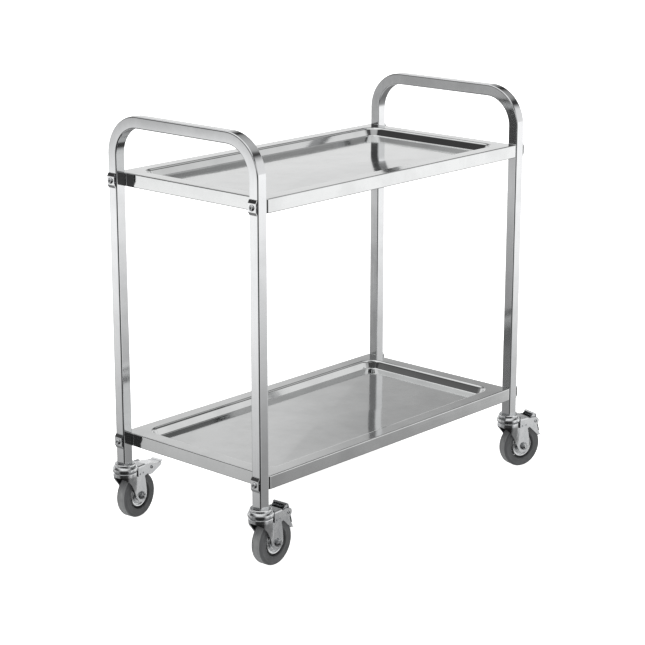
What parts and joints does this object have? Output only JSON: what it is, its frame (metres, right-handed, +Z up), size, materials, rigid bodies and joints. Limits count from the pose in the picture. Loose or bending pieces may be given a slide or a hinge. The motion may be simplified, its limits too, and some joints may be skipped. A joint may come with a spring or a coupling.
{
  "type": "two-tier service trolley",
  "caption": "Stainless steel service trolley: two pressed trays between bent square-tube end frames whose tops form push handles, on swivel casters with foot brakes.",
  "frame": {"origin": "middle of the object's footprint, on the floor", "axes": "+X along the trolley, the way the casters trail; +Y across it; +Z up"},
  "size_m": [0.9658, 0.4762, 0.89],
  "materials": {
    "polished_stainless": "bright polished",
    "tray_stainless": "bright rolled",
    "zinc_plate": "bright zinc plate",
    "wheel_disc": "zinc plated pressing",
    "fasteners": "zinc plated",
    "grey_rubber": "matt moulded"
  },
  "bodies": {
    "chassis": {"left_end_frame": "polished_stainless", "right_end_frame": "polished_stainless", "top_tray": "tray_stainless", "bottom_tray": "tray_stainless", "top_saddle_front_left": "polished_stainless", "top_bolt_front_left": "fasteners", "top_saddle_back_left": "polished_stainless", "top_bolt_back_left": "fasteners", "top_saddle_front_right": "polished_stainless", "top_bolt_front_right": "fasteners", "top_saddle_back_right": "polished_stainless", "top_bolt_back_right": "fasteners", "bottom_saddle_front_left": "polished_stainless", "bottom_bolt_front_left": "fasteners", "bottom_saddle_back_left": "polished_stainless", "bottom_bolt_back_left": "fasteners", "bottom_saddle_front_right": "polished_stainless", "bottom_bolt_front_right": "fasteners", "bottom_saddle_back_right": "polished_stainless", "bottom_bolt_back_right": "fasteners", "front_left_stem": "zinc_plate", "back_left_stem": "zinc_plate", "front_right_stem": "zinc_plate", "back_right_stem": "zinc_plate"},
    "front_left_caster": {"front_left_fork": "zinc_plate", "front_left_axle": "fasteners", "front_left_nut": "fasteners", "front_left_brake_bracket": "zinc_plate", "front_left_brake_pin": "fasteners"},
    "front_left_wheel": {"front_left_hub": "wheel_disc", "front_left_tyre": "grey_rubber"},
    "front_left_pedal": {"front_left_brake_pedal": "zinc_plate"},
    "back_left_caster": {"back_left_fork": "zinc_plate", "back_left_axle": "fasteners", "back_left_nut": "fasteners", "back_left_brake_bracket": "zinc_plate", "back_left_brake_pin": "fasteners"},
    "back_left_wheel": {"back_left_hub": "wheel_disc", "back_left_tyre": "grey_rubber"},
    "back_left_pedal": {"back_left_brake_pedal": "zinc_plate"},
    "front_right_caster": {"front_right_fork": "zinc_plate", "front_right_axle": "fasteners", "front_right_nut": "fasteners", "front_right_brake_bracket": "zinc_plate", "front_right_brake_pin": "fasteners"},
    "front_right_wheel": {"front_right_hub": "wheel_disc", "front_right_tyre": "grey_rubber"},
    "front_right_pedal": {"front_right_brake_pedal": "zinc_plate"},
    "back_right_caster": {"back_right_fork": "zinc_plate", "back_right_axle": "fasteners", "back_right_nut": "fasteners", "back_right_brake_bracket": "zinc_plate", "back_right_brake_pin": "fasteners"},
    "back_right_wheel": {"back_right_hub": "wheel_disc", "back_right_tyre": "grey_rubber"},
    "back_right_pedal": {"back_right_brake_pedal": "zinc_plate"}
  },
  "joints": [
    {"name": "front_left_swivel", "type": "hinge", "parent": "chassis", "child": "front_left_caster", "pos_m": [-0.45655, -0.19832, 0.112], "axis": [0, 0, 1], "continuous": true},
    {"name": "front_left_roll", "type": "hinge", "parent": "front_left_caster", "child": "front_left_wheel", "pos_m": [-0.42363, -0.19602, 0.05], "axis": [-0.0698, 0.9976, 0], "continuous": true},
    {"name": "front_left_brake", "type": "hinge", "parent": "front_left_caster", "child": "front_left_pedal", "pos_m": [-0.3922, -0.19382, 0.1065], "axis": [-0.0698, 0.9976, 0], "range_deg": [-64, 0]},
    {"name": "back_left_swivel", "type": "hinge", "parent": "chassis", "child": "back_left_caster", "pos_m": [-0.45655, 0.20668, 0.112], "axis": [0, 0, 1], "continuous": true},
    {"name": "back_left_roll", "type": "hinge", "parent": "back_left_caster", "child": "back_left_wheel", "pos_m": [-0.42387, 0.21127, 0.05], "axis": [-0.1392, 0.9903, 0], "continuous": true},
    {"name": "back_left_brake", "type": "hinge", "parent": "back_left_caster", "child": "back_left_pedal", "pos_m": [-0.39267, 0.21566, 0.1065], "axis": [-0.1392, 0.9903, 0], "range_deg": [0, 64]},
    {"name": "front_right_swivel", "type": "hinge", "parent": "chassis", "child": "front_right_caster", "pos_m": [0.37245, -0.19832, 0.112], "axis": [0, 0, 1], "continuous": true},
    {"name": "front_right_roll", "type": "hinge", "parent": "front_right_caster", "child": "front_right_wheel", "pos_m": [0.40425, -0.20714, 0.05], "axis": [0.2672, 0.9636, 0], "continuous": true},
    {"name": "front_right_brake", "type": "hinge", "parent": "front_right_caster", "child": "front_right_pedal", "pos_m": [0.43461, -0.21556, 0.1065], "axis": [0.2672, 0.9636, 0], "range_deg": [-64, 0]},
    {"name": "back_right_swivel", "type": "hinge", "parent": "chassis", "child": "back_right_caster", "pos_m": [0.37245, 0.20668, 0.112], "axis": [0, 0, 1], "continuous": true},
    {"name": "back_right_roll", "type": "hinge", "parent": "back_right_caster", "child": "back_right_wheel", "pos_m": [0.40527, 0.21013, 0.05], "axis": [-0.1045, 0.9945, 0], "continuous": true},
    {"name": "back_right_brake", "type": "hinge", "parent": "back_right_caster", "child": "back_right_pedal", "pos_m": [0.4366, 0.21342, 0.1065], "axis": [-0.1045, 0.9945, 0], "range_deg": [0, 64]}
  ]
}
